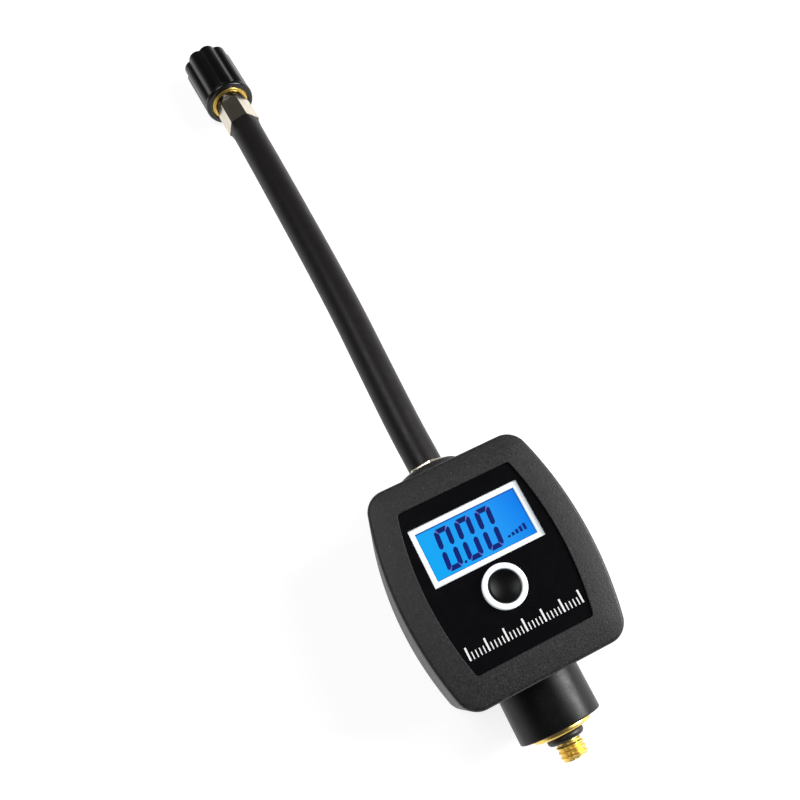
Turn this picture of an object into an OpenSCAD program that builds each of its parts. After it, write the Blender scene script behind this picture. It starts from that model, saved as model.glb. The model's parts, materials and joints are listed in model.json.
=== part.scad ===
// In-line tyre pressure gauge: a display casing with a screw-on pump fitting at one end
// and a short hose with a screw-on valve chuck at the other.
// X runs across the display, Y along the hose, Z out of the display. The origin is the
// middle of the casing's back face, so the gauge lies on its back at z = 0.

/* [Casing] */
// Width across the middle of the casing
case_w = 48.8; // [46:0.1:52]
// Length of the casing along the hose
case_l = 54.6; // [53.5:0.1:58]
// Thickness of the casing, back to front
case_t = 36; // [36:0.5:40]
// Radius of the bulging long sides
side_r = 90; // [70:1:140]
// Radius of the four corners
corner_r = 5.5; // [4.5:0.1:7]
// Thickness of the side and end walls
wall = 2.2; // [2:0.1:2.4]
// Thickness of the front and back walls
face_wall = 2.6; // [2.4:0.1:2.8]
// Height of the joint between the two shells, on the axis of the air line
split_z = 14; // [13.5:0.1:14.5]

/* [Display panel] */
// Width across the middle of the panel
panel_w = 35.2; // [34:0.1:36]
// Length of the panel
panel_l = 40.5; // [38:0.1:42]
// Radius of the panel's long sides
panel_side_r = 80; // [60:1:120]
// Depth of the panel below the front face
panel_recess = 0.6; // [0.3:0.1:0.8]
// Thickness of the panel sheet
panel_t = 0.5; // [0.3:0.1:0.6]
// Middle of the display, up from the middle of the casing
lcd_y = 8.2; // [7:0.1:9]
// Width of the display's white border
lcd_w = 29.2; // [28:0.1:30]
// Height of the display's white border
lcd_h = 14.8; // [14:0.1:15.2]
// Width of the white border itself
lcd_border = 1.3; // [1:0.1:1.5]

/* [Button] */
// Middle of the button, up from the middle of the casing
button_y = -5.6; // [-7:0.1:-5]
// Radius of the button
button_r = 3.95; // [3.5:0.05:4.2]
// Outer radius of the trim ring
ring_r = 5.3; // [5:0.1:6]
// Travel of the button
button_travel = 0.5; // [0.2:0.1:0.6]

/* [Pump end] */
// Outer radius of the plastic collar
collar_r = 10.8; // [9:0.1:12]
// Length of the collar
collar_l = 12.1; // [8:0.1:16]
// Radius of the brass flange that clamps the collar
flange_r = 7.6; // [6:0.1:8]
// Thickness of the brass flange
flange_t = 1.3; // [1:0.1:2]
// Outer radius of the sealing ring
oring_r = 4.8; // [4:0.1:5.2]
// Thickness of the sealing ring
oring_t = 2; // [1.5:0.1:2.4]
// Outer radius of the pump thread
stud_r = 3.5; // [3:0.05:4]
// Length of the pump thread
stud_l = 4; // [3:0.1:8]
// Radius of the air passage
air_r = 1.25; // [0.8:0.05:1.5]

/* [Hose] */
// Outside diameter of the hose
hose_d = 9.7; // [8:0.1:10]
// Radius of the round boss that the hose leaves through
boss_r = 8.9; // [8:0.1:10]
// Length of the boss beyond the casing
boss_l = 4.6; // [3:0.1:7]
// Distance across the flats of the crimped ferrules
ferrule_af = 9.8; // [9.6:0.1:10.2]

/* [Valve chuck] */
// Outer radius of the grip, over its lobes
grip_r = 8.1; // [7.7:0.1:8.4]
// Length of the grip
grip_l = 20; // [19.6:0.1:22]
// Number of lobes round the grip
grip_lobes = 9; // [8:1:12]
// Inner radius of the valve thread
valve_r = 3.65; // [3.4:0.05:3.9]
// Length of the valve thread
valve_l = 9; // [7:0.1:10]
// Slope of the chuck down to the surface that the gauge lies on, in degrees
tip_drop = 4; // [0:0.5:6]
// Turn of the chuck to the left, in degrees
tip_yaw = 2.5; // [0:0.5:4]

/* [Power] */
// Radius of one cell
cell_r = 5.25; // [5:0.05:5.25]
// Length of a cell's can, without its positive cap
cell_l = 42.8; // [40:0.1:43]
// Distance of each cell from the middle
cell_x = 11.6; // [11.5:0.1:12]

/* [Hidden] */
$fn = 64;

// Small gap that keeps a cut clear of the face it starts on
eps = 0.01;
// Sliding gap between loose parts
gap = 0.1;
// Gap round the display frame in its opening
window_gap = 0.25;
panel_corner_r = 1;

// Heights in the display stack
panel_top = case_t - panel_recess;
panel_floor = panel_top - panel_t;
front_inside = case_t - face_wall;
board_top = 29.6;
board_t = 1.6;
board_w = 34;
board_l = 46;
board_bottom = board_top - board_t;
frame_top = panel_floor - 0.05;
frame_lip = 0.5;
glass_t = 1.1;
glass_top = frame_top - frame_lip;
glass_bottom = glass_top - glass_t;
frame_flange_t = 1.2;

// Switch under the button, the button's dished top and the trim ring round it
switch_top = board_top + 2;
switch_w = 6;
plunger_r = 1.75;
button_flange = 0.55;
plunger_top = switch_top + button_travel + 0.4;
dish_r = 11;
dish_depth = 0.6;
button_top = case_t + 1;
ring_top = case_t + 0.8;

// Places of the screws
case_screw_x = 20.4;
case_screw_y = 13;
case_post_r = 2.3;
case_screw_r = 1;
case_screw_top = 25;
screw_head_r = 1.8;
screw_head_t = 1.3;
board_screw_x = 14.5;
board_screw_y = 20.8;
board_screw_r = 0.9;
board_post_r = 2;
board_head_r = 1.6;
board_head_t = 0.9;

// The lip that lines up the two shells
lip_h = 1.4;
lip_t = 1.1;

// Battery bay
cell_z = 7.6;
cap_r = 1.9;
cap_l = 0.9;
tray_gap = 0.15;
tray_t = 0.9;
tray_l = 49.2;
tray_end_t = 0.8;
tray_foot = face_wall + 0.05;
contact_y = 23.4;
door_w = 34.2;
door_t = 1.8;
door_end = 23;
tongue_w = 0.8;
tongue_t = 0.9;
tongue_start = -22.8;
end_y = case_l / 2;

// Pump end, measured along -Y from the casing
collar_end = -end_y - collar_l;
flange_end = collar_end - flange_t;
groove_end = flange_end - oring_t - 0.4;
stud_end = groove_end - stud_l;
shank_r = 5;
manifold_r = 6;
manifold_start = -21.5;
manifold_end = 19;
socket_l = 6;
thread_depth = 0.7;
sensor_y = -12;
sensor_w = 7;
sensor_t = 2.8;
nipple_r = 1.5;
nipple_top = 22.2;
port_r = 0.6;
nut_af = 11.5;
nut_t = 2.5;

// Barbed tails that hold the hose, and the lower ferrule's two ends
tail_r = 2.6;
barb_r = 3.1;
barb_pitch = 3;
barb_l = 2.4;
barb_root_r = 4;
barb_flange_r = 5;
barb_flange_t = 2.5;
ferrule_start = 22;
ferrule_end = 33;
ferrule_bore_r = hose_d / 2 - 0.25;

// Valve chuck, measured along its own axis from the mouth of the upper ferrule
flange_s = 11.5;
flange_back = 13;
stem_flange_r = 6;
tail_s = 1.5;
journal_r = 4.4;
bush_fit = 0.05;
head_s = 17.3;
head_back = 19.3;
head_r = 5.2;
bore_r = 6.3;
ferrule_hole_r = 5.9;
ferrule_turn = -12;
seal_t = 1.4;
seal_hole_r = 1.7;
grip_s = 11.2;
grip_end = grip_s + grip_l;
thread_s = 21.4;
thread_end = thread_s + valve_l;

// Middle of the upper ferrule's mouth, where the hose goes in
tip = [-0.85, 162.2, 10.2];
tip_dir = [-sin(tip_yaw) * cos(tip_drop), cos(tip_yaw) * cos(tip_drop), -sin(tip_drop)];

// Middle line of the hose, from the lower ferrule to the upper one
hose_route = [
    [0, 22.5, 14], [0, 33, 14], [-0.2, 45, 14], [-0.1, 58, 14], [0.1, 70, 13.9],
    [0.3, 82, 13.8], [0.3, 94, 13.6], [0.2, 106, 13.2], [0, 118, 12.8],
    [-0.2, 130, 12.3], [-0.4, 142, 11.6], [-0.6, 152, 10.9],
    tip, tip + 4 * tip_dir, tip + 10 * tip_dir,
];

// Middle lines of the two wires from the battery contacts to the board
lead_r = 0.6;
lead_x = 8.2;
lead_route = [
    [lead_x, 23.1, 11], [lead_x, 23.1, 14], [lead_x, 23.4, 17],
    [lead_x, 23.2, 21], [8, 22.3, 25], [7.8, 21.4, 28],
];

// A tube of radius r along a route. up is a direction that the route never follows.
function unit(v) = v / norm(v);
function along(route, i) =
    unit(route[min(i + 1, len(route) - 1)] - route[max(i - 1, 0)]);
function ring(route, i, r, sides, up) =
    let (t = along(route, i), u = unit(cross(t, up)), v = cross(u, t))
    [for (k = [0 : sides - 1]) route[i] + r * (cos(360 * k / sides) * u + sin(360 * k / sides) * v)];

module swept(route, r, sides, up) {
    last = len(route) - 1;
    points = [for (i = [0 : last]) each ring(route, i, r, sides, up)];
    skin = [for (i = [0 : last - 1], k = [0 : sides - 1])
        let (a = i * sides, b = (k + 1) % sides)
        [a + k, a + b, a + sides + b, a + sides + k]];
    polyhedron(
        points = points,
        faces = concat(
            skin,
            [[for (k = [sides - 1 : -1 : 0]) k]],
            [[for (k = [0 : sides - 1]) last * sides + k]]
        ),
        convexity = 4
    );
}

// Outline with bulging sides, straight ends and round corners, shrunk by inset
module barrel(w, l, r, corner, inset = 0) {
    half_l = l / 2 - inset;
    big = r - inset;
    small = corner - inset;
    cx = w / 2 - r;
    corner_y = half_l - small;
    corner_x = cx + sqrt(pow(big - small, 2) - pow(corner_y, 2));
    side_y = big * corner_y / (big - small);
    intersection() {
        translate([cx, 0]) circle(r = big);
        translate([-cx, 0]) circle(r = big);
        square([w, 2 * side_y], center = true);
    }
    square([2 * corner_x, 2 * half_l], center = true);
    for (x = [-corner_x, corner_x], y = [-corner_y, corner_y])
        translate([x, y]) circle(r = small);
}

module case_slab(z0, z1, inset = 0) {
    translate([0, 0, z0])
        linear_extrude(z1 - z0) barrel(case_w, case_l, side_r, corner_r, inset);
}

module panel_slab(z0, z1, inset = 0) {
    translate([0, 0, z0])
        linear_extrude(z1 - z0)
            barrel(panel_w, panel_l, panel_side_r, panel_corner_r, inset);
}

// A box centred in X and Y
module block(w, l, z0, z1, x = 0, y = 0) {
    translate([x - w / 2, y - l / 2, z0]) cube([w, l, z1 - z0]);
}

// Round bars along Z and along Y
module z_bar(r, z0, z1, x = 0, y = 0) {
    translate([x, y, z0]) cylinder(r = r, h = z1 - z0);
}

module y_bar(r, y0, y1) {
    translate([0, y0, 0]) rotate([-90, 0, 0]) cylinder(r = r, h = y1 - y0);
}

module y_cone(r0, r1, y0, y1) {
    translate([0, y0, 0]) rotate([-90, 0, 0]) cylinder(r1 = r0, r2 = r1, h = y1 - y0);
}

module y_hex(af, y0, y1, turn = 0) {
    translate([0, y0, 0]) rotate([-90, 0, 0]) rotate([0, 0, turn])
        cylinder(r = af / 2 / cos(30), h = y1 - y0, $fn = 6);
}

// The frame of the air line, and that of the chuck on the hose's end
module on_air_line() {
    translate([0, 0, split_z]) children();
}

module at_tip() {
    translate(tip) rotate([-tip_drop, 0, tip_yaw]) children();
}

module at_case_screws() {
    for (x = [-case_screw_x, case_screw_x], y = [-case_screw_y, case_screw_y])
        translate([x, y, 0]) children();
}

module at_board_screws() {
    for (x = [-board_screw_x, board_screw_x], y = [-board_screw_y, board_screw_y])
        translate([x, y, 0]) children();
}

// Half of a hollow shell, between two heights: outer walls, end holes and hose boss
module shell_walls(z0, z1, floor_z0, floor_z1) {
    difference() {
        union() {
            case_slab(z0, z1);
            intersection() {
                on_air_line() y_bar(boss_r, end_y - 1, end_y + boss_l);
                block(case_w, 3 * case_l, z0, z1);
            }
        }
        case_slab(floor_z0, floor_z1, wall);
        on_air_line() y_bar(shank_r + gap, -case_l, 0);
        on_air_line() y_bar(ferrule_hole_r, 0, case_l);
    }
}

module front_casing() {
    color("#2c2c2e") difference() {
        union() {
            shell_walls(split_z, case_t, split_z - 1, front_inside);
            difference() {
                case_slab(split_z - lip_h, split_z + 1, wall - lip_t);
                case_slab(split_z - lip_h - 1, split_z + 2, wall);
                at_case_screws() z_bar(case_post_r + gap, 0, split_z);
                on_air_line() y_bar(shank_r + gap, -case_l, 0);
                on_air_line() y_bar(ferrule_hole_r, 0, case_l);
            }
            intersection() {
                at_case_screws() z_bar(case_post_r, split_z, case_screw_top + 1);
                case_slab(split_z, case_t, wall - eps);
            }
            at_board_screws() z_bar(board_post_r, board_top, front_inside + eps);
        }
        panel_slab(panel_floor, case_t + 1);
        block(
            lcd_w + 2 * window_gap, lcd_h + 2 * window_gap, front_inside - 1, case_t,
            0, lcd_y
        );
        z_bar(button_r + gap, front_inside - 1, case_t, 0, button_y);
        at_case_screws() z_bar(case_screw_r, split_z - 1, case_screw_top);
        at_board_screws() z_bar(board_screw_r, board_top - 1, front_inside - 0.4);
    }
}

module rear_casing() {
    color("#29292b") difference() {
        union() {
            shell_walls(0, split_z, face_wall, split_z + 1);
            intersection() {
                at_case_screws() z_bar(case_post_r, 1, split_z);
                case_slab(0, split_z, wall - eps);
            }
        }
        // the seat of the front shell's lip
        difference() {
            case_slab(split_z - lip_h - gap, split_z + 1, wall - lip_t - gap);
            case_slab(split_z - lip_h - 1, split_z + 2, wall);
            at_case_screws() z_bar(case_post_r, 0, split_z);
        }
        // the battery opening, open at the pump end, and the grooves for the door's tongues
        block(
            door_w + 0.3, door_end + 0.2 + end_y - wall, -1, face_wall + 1,
            0, (door_end + 0.2 - end_y + wall) / 2
        );
        block(door_w + 0.3, 2 * wall, -1, door_t + gap, 0, -end_y);
        block(
            door_w + 2 * tongue_w + 0.4, door_end + case_l, door_t - tongue_t - gap, door_t + gap,
            0, (door_end - case_l) / 2
        );
        at_case_screws() z_bar(case_screw_r + 0.15, -1, split_z + 1);
        at_case_screws() z_bar(screw_head_r + 0.2, -1, screw_head_t + 0.3);
    }
}

module battery_door() {
    groove_x = 9;
    groove_w = 0.9;
    groove_depth = 0.4;
    color("#29292b") difference() {
        intersection() {
            union() {
                block(door_w, door_end + end_y, 0, door_t, 0, (door_end - end_y) / 2);
                block(
                    door_w + 2 * tongue_w, door_end - tongue_start, door_t - tongue_t, door_t,
                    0, (door_end + tongue_start) / 2
                );
            }
            case_slab(0, door_t);
        }
        // finger grooves
        for (y = [-20 : 2 * groove_w : -12])
            block(2 * groove_x, groove_w, -1, groove_depth, 0, y);
    }
}

module casing_screws() {
    head_z = 0.3;
    cross_w = 2.2;
    cross_t = 0.5;
    cross_depth = 0.6;
    color("#b9bcc0") at_case_screws() difference() {
        union() {
            z_bar(case_screw_r, screw_head_t, case_screw_top - 2);
            z_bar(screw_head_r, head_z, head_z + screw_head_t);
        }
        block(cross_w, cross_t, 0, head_z + cross_depth);
        block(cross_t, cross_w, 0, head_z + cross_depth);
    }
}

module display_panel() {
    color("#0b0b0e") difference() {
        panel_slab(panel_floor, panel_top, 0.1);
        block(lcd_w, lcd_h, 0, case_t, 0, lcd_y);
        z_bar(ring_r + gap, 0, case_t, 0, button_y);
    }
}

module display_window() {
    color("#cfe6ff40") block(lcd_w, lcd_h, panel_floor, panel_top, 0, lcd_y);
}

module display_frame() {
    color("#f4f6f8") difference() {
        union() {
            block(lcd_w + 0.2, lcd_h + 0.2, board_top + 1.8, frame_top, 0, lcd_y);
            block(lcd_w + 4, lcd_h + 2.4, front_inside - frame_flange_t, front_inside, 0, lcd_y);
        }
        block(lcd_w - 2 * lcd_border, lcd_h - 2 * lcd_border, 0, case_t, 0, lcd_y);
        block(lcd_w - 0.8, lcd_h - 0.8, 0, glass_top, 0, lcd_y);
    }
}

module display_glass() {
    color("#2f9dff") block(lcd_w - 1, lcd_h - 1, glass_bottom, glass_top, 0, lcd_y);
}

module backlight_guide() {
    color("#dfefff") block(lcd_w - 1, lcd_h - 4.8, board_top + 1, glass_bottom - 0.1, 0, lcd_y);
}

module backlight_leds() {
    led = [3, 1.5, 0.9];
    led_pitch = 9;
    color("#f2f2e8") for (k = [-1 : 1])
        block(led[0], led[1], board_top, board_top + led[2], led_pitch * k, lcd_y);
}

module display_connectors() {
    strip_l = 1.4;
    strip_y = lcd_h / 2 - strip_l;
    color("#8c93b8") for (y = [lcd_y - strip_y, lcd_y + strip_y])
        block(lcd_w - 3, strip_l, board_top, glass_bottom, 0, y);
}

module circuit_board() {
    color("#1d6b3c") difference() {
        block(board_w, board_l, board_bottom, board_top);
        at_board_screws() z_bar(board_screw_r + 0.15, 0, case_t);
    }
}

module board_screws() {
    color("#c7cacd") at_board_screws() {
        z_bar(board_screw_r, board_bottom, front_inside - 0.6);
        z_bar(board_head_r, board_bottom - board_head_t, board_bottom);
    }
}

module controller_chip() {
    chip_y = 7;
    chip_w = 7;
    chip_t = 1.4;
    stand_off = 0.15;
    leg = [0.35, 1.2, 0.8];
    leg_pitch = 0.8;
    reach = chip_w / 2 + 0.4;
    leg_z = board_bottom - leg[2];
    color("#17171a") {
        block(chip_w, chip_w, board_bottom - chip_t, board_bottom - stand_off, 0, chip_y);
        for (k = [-3 : 3], side = [-1, 1]) {
            block(leg[0], leg[1], leg_z, board_bottom, leg_pitch * k, chip_y + side * reach);
            block(leg[1], leg[0], leg_z, board_bottom, side * reach, chip_y + leg_pitch * k);
        }
    }
}

// A part of size [w, l, t] under the board
module under_board(size, x, y) {
    block(size[0], size[1], board_bottom - size[2], board_bottom, x, y);
}

module board_parts() {
    resistor = [2, 1.2, 0.7];
    capacitor = [1.6, 0.9, 0.6];
    crystal = [6.5, 2.4, 1.8];
    row_x = 11;
    row_y = 12;
    row_pitch = 3;
    can_r = 2;
    can_h = 4.5;
    color("#b59a6a") {
        for (k = [0 : 3]) {
            under_board(resistor, -row_x, row_y - row_pitch * k);
            under_board(capacitor, row_x, row_y - row_pitch * k);
        }
        under_board(crystal, 9, -6);
        z_bar(can_r, board_bottom - can_h, board_bottom, -9, -7);
    }
}

module pressure_sensor() {
    color("#d9d9d2") {
        under_board([sensor_w, sensor_w, sensor_t], 0, sensor_y);
        z_bar(nipple_r, nipple_top + 0.6, board_bottom - sensor_t + gap, 0, sensor_y);
    }
}

module sensor_tube() {
    tube_r = 2.6;
    overlap = 1.4;
    color("#e8e4da") difference() {
        z_bar(tube_r, nipple_top - overlap, board_bottom - sensor_t - 2 * gap, 0, sensor_y);
        z_bar(nipple_r, 0, case_t, 0, sensor_y);
    }
}

module switch_base() {
    color("#c9ccd0") difference() {
        block(switch_w, switch_w, board_top, switch_top, 0, button_y);
        z_bar(plunger_r + 0.05, board_top + 0.5, case_t, 0, button_y);
    }
}

module switch_plunger() {
    color("#1a1a1a") z_bar(plunger_r, board_top + 1.1, plunger_top, 0, button_y);
}

module push_button() {
    color("#0d0d0f") translate([0, button_y, 0]) {
        z_bar(button_r + button_flange, plunger_top, front_inside - gap);
        difference() {
            z_bar(button_r, plunger_top, button_top);
            translate([0, 0, button_top - dish_depth + dish_r]) sphere(r = dish_r);
        }
    }
}

module button_ring() {
    color("#eeeef0") difference() {
        z_bar(ring_r, panel_floor, ring_top, 0, button_y);
        z_bar(button_r + gap, 0, ring_top + 1, 0, button_y);
    }
}

// Both cells' channels, side by side, and the tray moulded over them
module over_cells() {
    for (x = [-cell_x, cell_x])
        translate([x, 0, cell_z]) children();
}

module battery_tray() {
    channel_r = cell_r + tray_gap;
    outer_r = channel_r + tray_t;
    bridge_l = 40;
    bridge_t = 1.2;
    notch_l = 1.8;
    color("#333336") intersection() {
        difference() {
            union() {
                over_cells() y_bar(outer_r, -tray_l / 2, tray_l / 2);
                for (x = [-cell_x, cell_x])
                    block(2 * outer_r, tray_l, tray_foot, cell_z, x, 0);
                block(2 * cell_x, bridge_l, cell_z - bridge_t, cell_z);
            }
            over_cells() y_bar(channel_r, tray_end_t - tray_l / 2, tray_l / 2 - tray_end_t);
            for (x = [-cell_x, cell_x])
                block(2 * channel_r, tray_l - 2 * tray_end_t, 0, cell_z, x, 0);
            block(case_w, case_l, -cell_z, tray_foot);
            // notches for the wires
            for (x = [-lead_x, lead_x])
                block(2, notch_l, 9, split_z, x, tray_l / 2 - tray_end_t - notch_l / 2 + 0.1);
        }
        case_slab(0, split_z, wall + gap);
    }
}

// One cell along Y, its positive cap towards +Y
module cell() {
    y_bar(cell_r, -cell_l / 2, cell_l / 2);
    y_bar(cap_r, cell_l / 2 - eps, cell_l / 2 + cap_l);
}

module battery_left() {
    color("#3b3f46") translate([-cell_x, 0, cell_z]) cell();
}

module battery_right() {
    color("#3b3f46") translate([cell_x, 0, cell_z]) mirror([0, 1, 0]) cell();
}

module contact_spring() {
    turns = 2.5;
    steps = 30;
    wire_r = 0.3;
    start_y = cell_l / 2 + wire_r;
    tip_r = 1.6;
    end_r = 3;
    route = [for (i = [0 : steps])
        let (f = i / steps, a = 360 * turns * f, r = tip_r + (end_r - tip_r) * f)
        [r * cos(a), start_y + f * (contact_y - 0.1 - start_y), r * sin(a)]];
    swept(route, wire_r, 6, [0, 1, 0]);
}

module contact_plate() {
    plate = [8, 0.3, 7.4];
    plate_foot = -3.6;
    translate([-plate[0] / 2, contact_y, plate_foot]) cube(plate);
}

module battery_springs() {
    color("#d5d0bd") {
        translate([cell_x, 0, cell_z]) {
            contact_spring();
            contact_plate();
        }
        mirror([0, 1, 0]) translate([-cell_x, 0, cell_z]) {
            contact_spring();
            contact_plate();
        }
    }
}

// Plate with the raised button that meets a cell's positive cap
module contact_button() {
    y_bar(2.4, cell_l / 2 + cap_l, contact_y + eps);
    contact_plate();
}

module battery_contacts() {
    color("#d5d0bd") {
        translate([-cell_x, 0, cell_z]) contact_button();
        mirror([0, 1, 0]) translate([cell_x, 0, cell_z]) contact_button();
    }
}

module battery_leads() {
    color("#b3261e") for (side = [-1, 1])
        swept([for (p = lead_route) [side * p[0], p[1], p[2]]], lead_r, 8, [1, 0, 0]);
}

module pump_collar() {
    chamfer = 0.5;
    color("#1f1f21") on_air_line() difference() {
        union() {
            y_bar(collar_r, collar_end + chamfer, -end_y);
            y_cone(collar_r - chamfer, collar_r, collar_end, collar_end + chamfer);
        }
        y_bar(shank_r, collar_end - 1, 0);
    }
}

module pump_fitting() {
    color("#d9a531") on_air_line() difference() {
        union() {
            y_bar(shank_r, collar_end - eps, manifold_start + socket_l);
            y_bar(flange_r, flange_end, collar_end);
            y_bar(stud_r - thread_depth, groove_end - eps, flange_end + eps);
            y_bar(stud_r, stud_end, groove_end);
        }
        y_bar(air_r, stud_end - 1, 0);
    }
}

module fitting_nut() {
    inside = -end_y + wall;
    color("#c79a35") on_air_line() difference() {
        y_hex(nut_af, inside, inside + nut_t, 15);
        y_bar(shank_r, inside - 1, inside + nut_t + 1);
    }
}

module pump_o_ring() {
    tube = oring_t / 2;
    color("#141414") translate([0, flange_end - 0.05 - tube, split_z]) rotate([-90, 0, 0])
        rotate_extrude() translate([oring_r - tube, 0]) circle(r = tube, $fn = 32);
}

module air_manifold() {
    color("#b9bcc0") difference() {
        union() {
            on_air_line() y_bar(manifold_r, manifold_start, manifold_end);
            z_bar(nipple_r, split_z, nipple_top, 0, sensor_y);
        }
        on_air_line() y_bar(shank_r, manifold_start - 1, manifold_start + socket_l);
        on_air_line() y_bar(barb_root_r, manifold_end - socket_l, manifold_end + 1);
        on_air_line() y_bar(air_r, manifold_start, manifold_end);
        z_bar(port_r, split_z, nipple_top + 1, 0, sensor_y);
    }
}

module hose_barb() {
    color("#d9a531") on_air_line() difference() {
        union() {
            y_bar(barb_root_r, manifold_end - socket_l, manifold_end);
            y_bar(barb_flange_r, manifold_end - eps, manifold_end + barb_flange_t);
            y_bar(tail_r, manifold_end, ferrule_end - 0.5);
            for (k = [0 : 2]) {
                y = ferrule_start + 1 + barb_pitch * k;
                y_cone(barb_r, tail_r, y, y + barb_l);
            }
        }
        y_bar(air_r, 0, case_l);
    }
}

module lower_ferrule() {
    color("#d8d3c6") on_air_line() difference() {
        y_hex(ferrule_af, ferrule_start, ferrule_end, ferrule_turn);
        y_bar(ferrule_bore_r, ferrule_start - 1, ferrule_end + 1);
    }
}

module hose() {
    color("#1b1b1c") swept(hose_route, hose_d / 2, 12, [0, 0, 1]);
}

module upper_ferrule() {
    color("#d8d3c6") at_tip() difference() {
        y_hex(ferrule_af, 0, flange_s, ferrule_turn);
        y_bar(ferrule_bore_r, -1, flange_s + 1);
    }
}

module chuck_stem() {
    color("#d9a531") at_tip() difference() {
        union() {
            y_bar(tail_r, tail_s, flange_s + 1);
            for (k = [0 : 2]) {
                s = 2 + barb_pitch * k;
                y_cone(tail_r, barb_r, s, s + barb_l);
            }
            y_bar(stem_flange_r, flange_s, flange_back);
            y_bar(journal_r, flange_back - eps, head_s + eps);
            y_bar(head_r, head_s, head_back);
        }
        y_bar(air_r, 0, head_back + 1);
        // groove round the face that the ferrule meets
        difference() {
            y_bar(stem_flange_r - 0.4, flange_s - 1, flange_s + 0.5);
            y_bar(stem_flange_r - 0.9, flange_s - 2, flange_s + 1);
        }
    }
}

module swivel_bush() {
    color("#c79a35") at_tip() difference() {
        y_bar(bore_r, flange_back + 0.3, head_s - 0.3);
        y_bar(journal_r + bush_fit, 0, grip_end);
    }
}

module chuck_insert() {
    insert_s = head_back + 0.3;
    insert_end = grip_end - 0.3;
    color("#d9a531") at_tip() difference() {
        y_bar(bore_r, insert_s, insert_end);
        y_bar(head_r + 2 * gap, insert_s - 1, thread_s);
        y_bar(valve_r, thread_s - 1, insert_end + 1);
        y_cone(valve_r, valve_r + 1.5, thread_end, insert_end + eps);
    }
}

module chuck_grip() {
    lobe_r = 2.9;
    band_l = 1.4;
    band_r = grip_r - 0.1;
    core_r = grip_r - 0.9;
    chamfer = 0.8;
    lobes_s = grip_s + band_l - 0.3;
    color("#111113") at_tip() difference() {
        union() {
            y_cone(band_r - chamfer, band_r, grip_s, grip_s + chamfer);
            y_bar(band_r, grip_s + chamfer, grip_s + band_l);
            translate([0, lobes_s, 0]) rotate([-90, 0, 0])
                linear_extrude(grip_end - lobes_s) {
                    circle(r = core_r);
                    for (k = [0 : grip_lobes - 1])
                        rotate([0, 0, 360 * k / grip_lobes])
                            translate([grip_r - lobe_r, 0]) circle(r = lobe_r);
                }
        }
        y_bar(bore_r, grip_s - 1, grip_end + 1);
    }
}

module chuck_seal() {
    color("#3a1d17") at_tip() difference() {
        y_bar(head_r - 0.2, head_back, head_back + seal_t);
        y_bar(seal_hole_r, head_back - 1, head_back + seal_t + 1);
    }
}

module valve_pin() {
    pin_r = 0.8;
    spider_s = 15;
    spider_t = 1.2;
    color("#e0c060") at_tip() {
        y_bar(pin_r, spider_s, head_back + seal_t + 0.2);
        // foot that the air passes on both sides
        difference() {
            y_bar(air_r, spider_s, spider_s + spider_t);
            for (x = [-1.2, 1.2])
                translate([x, 0, 0]) y_bar(0.5, spider_s - 1, spider_s + spider_t + 1);
        }
    }
}

front_casing();
rear_casing();
battery_door();
casing_screws();
display_panel();
display_window();
display_frame();
display_glass();
backlight_guide();
backlight_leds();
display_connectors();
circuit_board();
board_screws();
controller_chip();
board_parts();
pressure_sensor();
sensor_tube();
switch_base();
switch_plunger();
push_button();
button_ring();
battery_tray();
battery_left();
battery_right();
battery_springs();
battery_contacts();
battery_leads();
pump_collar();
pump_fitting();
fitting_nut();
pump_o_ring();
air_manifold();
hose_barb();
lower_ferrule();
hose();
upper_ferrule();
chuck_stem();
swivel_bush();
chuck_insert();
chuck_grip();
chuck_seal();
valve_pin();
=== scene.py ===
"""Looks for the in-line tire pressure gauge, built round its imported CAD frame.

Shapes are written in millimetres and scaled to metres as they become meshes. X runs across
the display, Y along the hose, Z out of the display, and the casing's back lies at z = 0.
"""

import json
import math

import bmesh
import bpy
from mathutils import Matrix, Vector


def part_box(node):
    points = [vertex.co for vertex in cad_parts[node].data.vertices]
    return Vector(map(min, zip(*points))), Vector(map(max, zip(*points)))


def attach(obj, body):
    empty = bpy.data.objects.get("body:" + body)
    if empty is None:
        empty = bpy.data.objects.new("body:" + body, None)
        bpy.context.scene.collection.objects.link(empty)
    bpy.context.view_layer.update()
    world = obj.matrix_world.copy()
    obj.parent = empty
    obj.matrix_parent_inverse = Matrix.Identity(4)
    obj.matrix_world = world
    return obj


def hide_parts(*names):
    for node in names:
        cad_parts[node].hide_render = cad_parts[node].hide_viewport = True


MM = 0.001
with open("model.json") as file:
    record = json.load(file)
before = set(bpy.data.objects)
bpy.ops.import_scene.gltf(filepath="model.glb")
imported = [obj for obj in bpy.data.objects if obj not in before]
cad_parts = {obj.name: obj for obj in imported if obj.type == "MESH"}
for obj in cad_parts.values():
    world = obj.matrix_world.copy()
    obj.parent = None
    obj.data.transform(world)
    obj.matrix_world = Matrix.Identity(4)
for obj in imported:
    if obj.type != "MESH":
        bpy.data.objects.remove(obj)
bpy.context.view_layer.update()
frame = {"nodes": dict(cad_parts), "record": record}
nodes = frame["nodes"]


def span(node):
    """Lowest and highest corner of a CAD node, in millimetres."""
    low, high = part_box(node)
    return low / MM, high / MM


# ---------------------------------------------------------------- sizes, in millimetres

shell_low, shell_high = span("front_casing")
CASE_HALF_W = shell_high.x
CASE_END = -shell_low.y
CASE_TOP = shell_high.z
SIDE_R = 90
CORNER_R = 5.5
DRAFT = 0.3  # inset of the casing's outline at its back
WALL = 2.2
FACE_WALL = 2.6
FRONT_INSIDE = CASE_TOP - FACE_WALL
SPLIT_Z = span("rear_casing")[1].z
LIP_H = 1.4
LIP_T = 1.1
LIP_GAP = 0.1
SEAM = 0.18
DOOR_TONGUE = 0.8

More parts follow.
